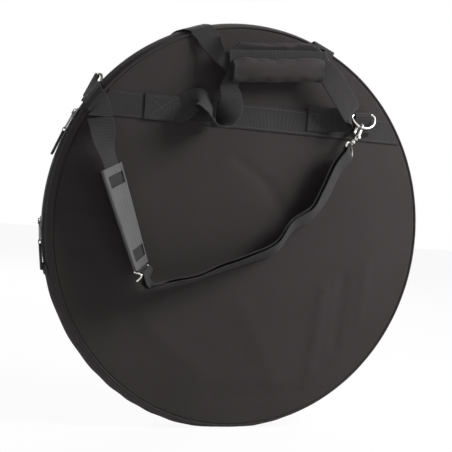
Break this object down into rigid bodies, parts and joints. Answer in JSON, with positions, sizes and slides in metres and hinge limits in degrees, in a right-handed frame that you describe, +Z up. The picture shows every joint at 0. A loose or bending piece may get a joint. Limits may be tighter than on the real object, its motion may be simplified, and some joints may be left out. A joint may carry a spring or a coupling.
{
  "type": "cymbal bag",
  "caption": "Round padded zip-up bag for cymbals with a wrapped carry handle, a padded shoulder strap on swivel hooks.",
  "frame": {"origin": "middle of the flat on the bottom of the gusset that the bag stands on", "axes": "+X to the right as seen from the front, +Y to the back, +Z up; the front cover faces -Y"},
  "size_m": [0.6236, 0.1247, 0.6132],
  "materials": {
    "charcoal_polyester": "woven, matt",
    "lining_nylon": "fine weave",
    "webbing": "ribbed webbing",
    "piping": "woven sleeve on a cord",
    "zip_tape": "woven tape",
    "zip_coil": "moulded coil",
    "grip_lining": "hook-and-loop",
    "pad_rubber": "ribbed, matt",
    "slider_metal": "dark plated",
    "nickel": "polished nickel"
  },
  "bodies": {
    "back_shell": {"back_panel": "charcoal_polyester", "back_lining": "lining_nylon", "back_piping": "piping", "back_gusset": "charcoal_polyester", "front_panel_pocket": "charcoal_polyester", "front_lining_pocket": "lining_nylon", "front_piping_pocket": "piping", "pocket_gusset": "charcoal_polyester", "back_zip_tape": "zip_tape", "back_zip_coil": "zip_coil", "zip_end_tab_left": "webbing", "zip_end_tab_right": "webbing", "back_band": "webbing", "rear_handle_tail_left": "webbing", "rear_handle_tail_right": "webbing", "rear_d_ring_chape": "webbing", "rear_hook_eye": "nickel", "strap_back": "webbing"},
    "front_cover": {"front_panel_upper": "charcoal_polyester", "front_lining_upper": "lining_nylon", "front_piping_upper": "piping", "front_gusset": "charcoal_polyester", "front_zip_tape": "zip_tape", "front_zip_coil": "zip_coil", "front_band": "webbing", "front_handle_leg_left": "webbing", "front_handle_leg_right": "webbing", "rear_handle_over_rim_left": "webbing", "rear_handle_over_rim_right": "webbing", "strap_over_rim": "webbing", "front_d_ring_chape": "webbing"},
    "carry_handle": {"grip_wrap": "charcoal_polyester", "grip_hook_tape": "grip_lining", "front_handle_run": "webbing", "rear_handle_front": "webbing"},
    "shoulder_strap": {"strap_front": "webbing", "strap_adjuster": "nickel", "front_hook_eye": "nickel"},
    "shoulder_pad": {"shoulder_pad": "pad_rubber"},
    "front_d_ring": {"front_d_ring": "nickel"},
    "front_hook": {"front_hook": "nickel"},
    "front_hook_bolt": {"front_hook_bolt": "nickel"},
    "rear_d_ring": {"rear_d_ring": "nickel"},
    "rear_hook": {"rear_hook": "nickel"},
    "rear_hook_bolt": {"rear_hook_bolt": "nickel"},
    "upper_slider": {"upper_slider": "slider_metal"},
    "lower_slider": {"lower_slider": "slider_metal"},
    "upper_pull": {"upper_pull": "slider_metal"},
    "lower_pull": {"lower_pull": "slider_metal"},
    "upper_tag": {"upper_tag": "charcoal_polyester"},
    "lower_tag": {"lower_tag": "charcoal_polyester"}
  },
  "joints": [
    {"name": "cover_open", "type": "hinge", "parent": "back_shell", "child": "front_cover", "pos_m": [0, -0.02924, 0.2365], "axis": [1, 0, 0], "range_deg": [0, 20]},
    {"name": "handle_lift", "type": "hinge", "parent": "front_cover", "child": "carry_handle", "pos_m": [0, -0.0288, 0.59365], "axis": [-1, 0, 0], "range_deg": [0, 150]},
    {"name": "strap_swing", "type": "hinge", "parent": "front_cover", "child": "shoulder_strap", "pos_m": [0.18149, -0.03206, 0.4935], "axis": [-0.9948, 0, -0.1015], "range_deg": [0, 60]},
    {"name": "front_ring_swing", "type": "hinge", "parent": "front_cover", "child": "front_d_ring", "pos_m": [0.18149, -0.03206, 0.4935], "axis": [-0.9948, 0, -0.1015], "range_deg": [0, 60]},
    {"name": "front_hook_turn", "type": "hinge", "parent": "shoulder_strap", "child": "front_hook", "pos_m": [0.17083, -0.04318, 0.47194], "axis": [-0.442, -0.1522, -0.884], "range_deg": [-15, 15]},
    {"name": "front_bolt_slide", "type": "slide", "parent": "front_hook", "child": "front_hook_bolt", "axis": [-0.442, -0.1522, -0.884], "range_m": [0, 0.008]},
    {"name": "pad_slide", "type": "slide", "parent": "shoulder_strap", "child": "shoulder_pad", "axis": [-0.3691, 0, 0.9294], "range_m": [0, 0.014]},
    {"name": "rear_ring_swing", "type": "hinge", "parent": "back_shell", "child": "rear_d_ring", "pos_m": [-0.17731, 0.03267, 0.4668], "axis": [-0.4226, 0, -0.9063], "range_deg": [-3, 0]},
    {"name": "rear_hook_turn", "type": "hinge", "parent": "back_shell", "child": "rear_hook", "pos_m": [-0.2013, 0.03813, 0.47798], "axis": [-0.901, -0.1082, 0.4201], "range_deg": [-10, 10]},
    {"name": "rear_bolt_slide", "type": "slide", "parent": "rear_hook", "child": "rear_hook_bolt", "axis": [-0.901, -0.1082, 0.4201], "range_m": [0, 0.008]},
    {"name": "upper_slider_travel", "type": "hinge", "parent": "back_shell", "child": "upper_slider", "pos_m": [0, 0, 0.3045], "axis": [0, -1, 0], "range_deg": [0, 6]},
    {"name": "lower_slider_travel", "type": "hinge", "parent": "back_shell", "child": "lower_slider", "pos_m": [0, 0, 0.3045], "axis": [0, -1, 0], "range_deg": [-10, 1]},
    {"name": "upper_pull_swing", "type": "hinge", "parent": "upper_slider", "child": "upper_pull", "pos_m": [-0.27354, 0, 0.45488], "axis": [0, 1, 0], "range_deg": [0, 150]},
    {"name": "upper_tag_swing", "type": "hinge", "parent": "upper_pull", "child": "upper_tag", "pos_m": [-0.28548, 0, 0.43072], "axis": [0, 1, 0], "range_deg": [-4, 24]},
    {"name": "lower_pull_swing", "type": "hinge", "parent": "lower_slider", "child": "lower_pull", "pos_m": [-0.31201, 0, 0.29524], "axis": [0, 1, 0], "range_deg": [0, 150]},
    {"name": "lower_tag_swing", "type": "hinge", "parent": "lower_pull", "child": "lower_tag", "pos_m": [-0.31004, 0, 0.26836], "axis": [0, 1, 0], "range_deg": [0, 24]}
  ],
  "couplings": [
    {"joint": "front_ring_swing", "follows": "strap_swing", "ratio": 1}
  ]
}
